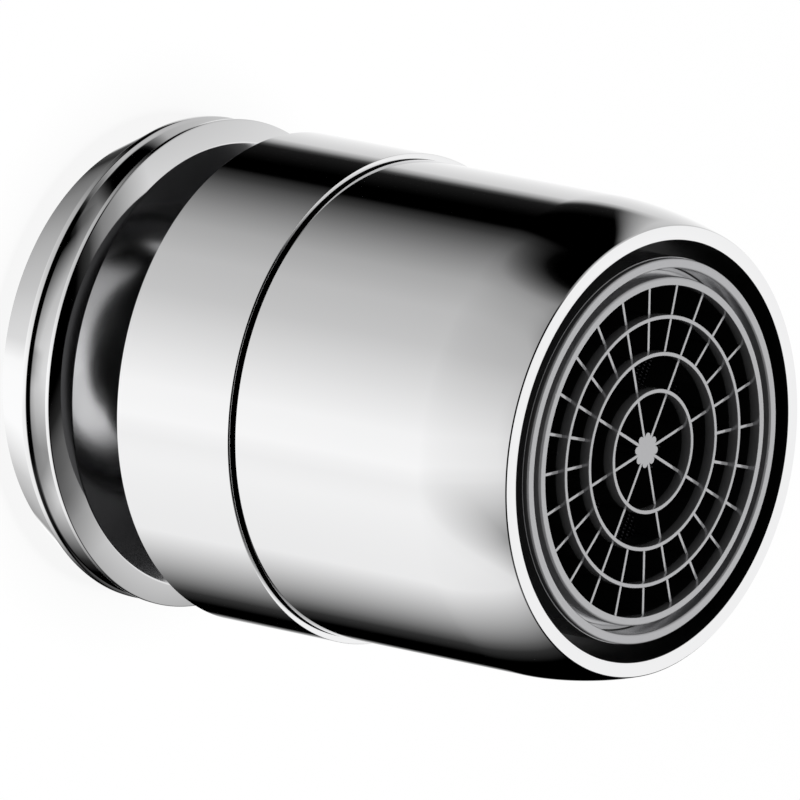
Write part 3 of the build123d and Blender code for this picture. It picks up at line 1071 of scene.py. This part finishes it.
# %% Openings overhead and at the left
LEFT_WALL = ((-0.7, 1.0), (-0.5, 0.84), (-0.35, 0.57), (-0.2, 0.27), (-0.1, 0.09), (-0.02, 0.0))
RIGHT_WALL = ((0.09, 0.0), (0.13, 0.5), (0.18, 1.0))
TOP_OPENING = ((0.5, 0.0), (0.56, 0.5), (0.59, 0.88), (0.62, 0.98), (0.75, 1.0))
TOP_FRONT_END = ((0.3, 1.0), (0.55, 0.5))
LEFT_OPENING = ((0.04, 0.0), (0.1, 0.9), (0.24, 0.97), (0.34, 0.72), (0.5, 0.8))
LEFT_OPENING_END = ((-0.1, 1.0), (-0.03, 0.0))


def closed_above(tree, right, height, near, wall_place):
    past_left_wall = inverse(tree, ramp_node(tree, wall_place, LEFT_WALL))
    past_right_wall = inverse(tree, ramp_node(tree, right, RIGHT_WALL))
    front_end = ramp_node(tree, near, TOP_FRONT_END)
    overhead = ramp_node(tree, height, TOP_OPENING)
    top_gap = product(tree, overhead, past_left_wall, past_right_wall, front_end)
    left_end = ramp_node(tree, right, LEFT_OPENING_END)
    left_gap = product(tree, ramp_node(tree, height, LEFT_OPENING), left_end, past_left_wall)
    return inverse(tree, math_node(tree, "MAXIMUM", top_gap, left_gap))


# %% Openings below and at the lower left
LOW_SLOPE = 1.2
LOW_CORNER = -0.15
LOW_OPENING = ((-0.14, 1.0), (-0.07, 0.5), (-0.02, 0.0))
LOW_WALL = ((-0.5, 0.9), (-0.3, 0.55), (-0.12, 0.25), (-0.03, 0.11), (0.04, 0.03), (0.15, 0.0))
LOW_RIGHT_END = ((0.25, 1.0), (0.6, 0.5), (0.9, 0.0))
LOW_LEFT_OPENING = ((-0.34, 0.0), (-0.22, 1.0), (-0.09, 1.0), (-0.03, 0.0))
LOW_LEFT_REACH = ((-0.6, 0.0), (-0.42, 0.4), (-0.17, 0.68), (-0.1, 0.0))


def closed_below(tree, right, height, wall_place):
    left_part = math_node(tree, "MAXIMUM", math_node(tree, "MINIMUM", right, 0.0), LOW_CORNER)
    low_place = math_node(tree, "SUBTRACT", height, math_node(tree, "MULTIPLY", left_part, LOW_SLOPE))
    past_low_wall = inverse(tree, ramp_node(tree, wall_place, LOW_WALL))
    right_end = ramp_node(tree, right, LOW_RIGHT_END)
    low_gap = product(tree, ramp_node(tree, low_place, LOW_OPENING), past_low_wall, right_end)
    left_reach = ramp_node(tree, right, LOW_LEFT_REACH)
    left_gap = product(tree, ramp_node(tree, height, LOW_LEFT_OPENING), left_reach)
    return product(tree, inverse(tree, low_gap), inverse(tree, left_gap))


# %% Dark room in front
FRONT_SIDE = ((-0.5, 0.0), (-0.2, 1.0))
FRONT_LEFT = ((0.0, 1.0), (0.3, 0.9), (0.65, 0.8), (0.9, 0.6))
FRONT_RIGHT = ((0.3, 1.0), (0.5, 0.4), (0.57, 0.28), (0.64, 0.04), (0.7, 0.0))
FRONT_LOW = ((-0.7, 0.6), (-0.3, 0.0))
FRONT_LOW_NEAR = ((0.1, 0.0), (0.4, 1.0))


def closed_in_front(tree, right, height, near):
    side = ramp_node(tree, right, FRONT_SIDE)
    front_left = product(tree, ramp_node(tree, near, FRONT_LEFT), inverse(tree, side))
    front_right = product(tree, ramp_node(tree, near, FRONT_RIGHT), side)
    front = math_node(tree, "ADD", front_left, front_right)
    front_low = product(tree, ramp_node(tree, height, FRONT_LOW), ramp_node(tree, near, FRONT_LOW_NEAR))
    return product(tree, front, inverse(tree, front_low))


# %% [markdown]
# ## The world
# The world is that tent for glossy rays, plain white for the camera, and a faint fill for everything else.
# One bright world for all rays would flood the plastic with light. Light Path tells the rays apart, so the
# white background puts no more light on the object.

# %% Tent in one value
WALL_LEAN = 0.36


def tent_brightness(tree):
    """Brightness of the tent for the direction in which a ray leaves the object."""
    direction = add_node(tree, "ShaderNodeTexCoord").outputs["Generated"]
    right, height, near = [along(tree, direction, axis) for axis in (photo_right, -photo_down, -sight)]
    wall_place = math_node(tree, "SUBTRACT", right, math_node(tree, "MULTIPLY", near, WALL_LEAN))
    return product(
        tree,
        cloth_brightness(tree, right, height),
        closed_above(tree, right, height, near, wall_place),
        closed_below(tree, right, height, wall_place),
        closed_in_front(tree, right, height, near),
    )


# %% World
TENT_LIGHT = 1.08
FILL_LIGHT = 0.015


def background(tree, strength):
    node = add_node(tree, "ShaderNodeBackground")
    node.inputs["Color"].default_value = (1, 1, 1, 1)
    node.inputs["Strength"].default_value = strength
    return node


def mix(tree, share, first, second):
    node = add_node(tree, "ShaderNodeMixShader")
    tree.links.new(share, node.inputs["Fac"])
    tree.links.new(first.outputs[0], node.inputs[1])
    tree.links.new(second.outputs[0], node.inputs[2])
    return node


def make_world():
    world = bpy.data.worlds.new("studio")
    bpy.context.scene.world = world
    world.use_nodes = True
    world.cycles.sampling_method = "NONE"
    tree = world.node_tree
    tree.nodes.clear()
    light_path = add_node(tree, "ShaderNodeLightPath")
    fill = background(tree, FILL_LIGHT)
    tent = background(tree, TENT_LIGHT)
    tree.links.new(tent_brightness(tree), tent.inputs["Color"])
    white = background(tree, 1.0)
    glossy = mix(tree, light_path.outputs["Is Glossy Ray"], fill, tent)
    seen = mix(tree, light_path.outputs["Is Camera Ray"], glossy, white)
    output = add_node(tree, "ShaderNodeOutputWorld")
    tree.links.new(seen.outputs["Shader"], output.inputs["Surface"])
    print("the world has", len(tree.nodes), "nodes")


make_world()


# %% [markdown]
# ## The floor
# A pale sheet takes the object's soft shadow. Most of its white is its own for the camera, so the picture's
# background stays white without more light on the object. Its back is clear, so that a view from below sees
# the collar.

# %% Paper of the floor
FLOOR_SHADOW = 0.1
PAPER_LIGHT = 0.92
PAPER_COLOUR = (0.9, 0.9, 0.9, 1)


def floor_material():
    material = bpy.data.materials.new("floor_white")
    material.use_nodes = True
    tree = material.node_tree
    tree.nodes.clear()
    paper = add_node(tree, "ShaderNodeBsdfDiffuse")
    paper.inputs["Color"].default_value = PAPER_COLOUR
    white = add_node(tree, "ShaderNodeEmission")
    white.inputs["Strength"].default_value = (1 - FLOOR_SHADOW * PAPER_LIGHT) / (1 - FLOOR_SHADOW)
    light_path = add_node(tree, "ShaderNodeLightPath")
    share = math_node(tree, "MULTIPLY", light_path.outputs["Is Camera Ray"], 1 - FLOOR_SHADOW)
    lit = mix(tree, share, paper, white)
    clear = add_node(tree, "ShaderNodeBsdfTransparent")
    side = add_node(tree, "ShaderNodeNewGeometry")
    shown = mix(tree, side.outputs["Backfacing"], lit, clear)
    output = add_node(tree, "ShaderNodeOutputMaterial")
    tree.links.new(shown.outputs["Shader"], output.inputs["Surface"])
    return material


# %% Floor
FLOOR_HALF = 2.0
FLOOR_DROP = 0.00001


def make_floor():
    mesh = bmesh.new()
    bmesh.ops.create_grid(mesh, x_segments=1, y_segments=1, size=FLOOR_HALF)
    data = bpy.data.meshes.new("floor")
    mesh.to_mesh(data)
    mesh.free()
    data.materials.append(floor_material())
    floor = bpy.data.objects.new("floor", data)
    bpy.context.scene.collection.objects.link(floor)
    floor.location.z = -FLOOR_DROP
    floor.visible_glossy = False
    print("the floor is", 2 * FLOOR_HALF, "m wide")


make_floor()


# %% [markdown]
# ## The lamp
# One overhead lamp lights the plastic and rubber, and chrome does not mirror it. A small lamp would draw a
# hard shadow, so it is a wide disc. Its power follows from its height: a matt surface that faces it renders
# about as its colour is written.

# %% Lamp
LAMP_HEIGHT = 1.0
LAMP_WIDTH = 0.25


def make_lamp():
    data = bpy.data.lights.new("overhead_softbox", "AREA")
    data.shape = "DISK"
    data.size = LAMP_WIDTH
    data.energy = math.pi ** 2 * LAMP_HEIGHT ** 2
    lamp = bpy.data.objects.new("overhead_softbox", data)
    lamp.location = (0, 0, LAMP_HEIGHT)
    lamp.visible_glossy = False
    bpy.context.scene.collection.objects.link(lamp)
    print("the lamp has", round(data.energy, 2), "W")


make_lamp()
bpy.context.scene.view_settings.view_transform = "Standard"
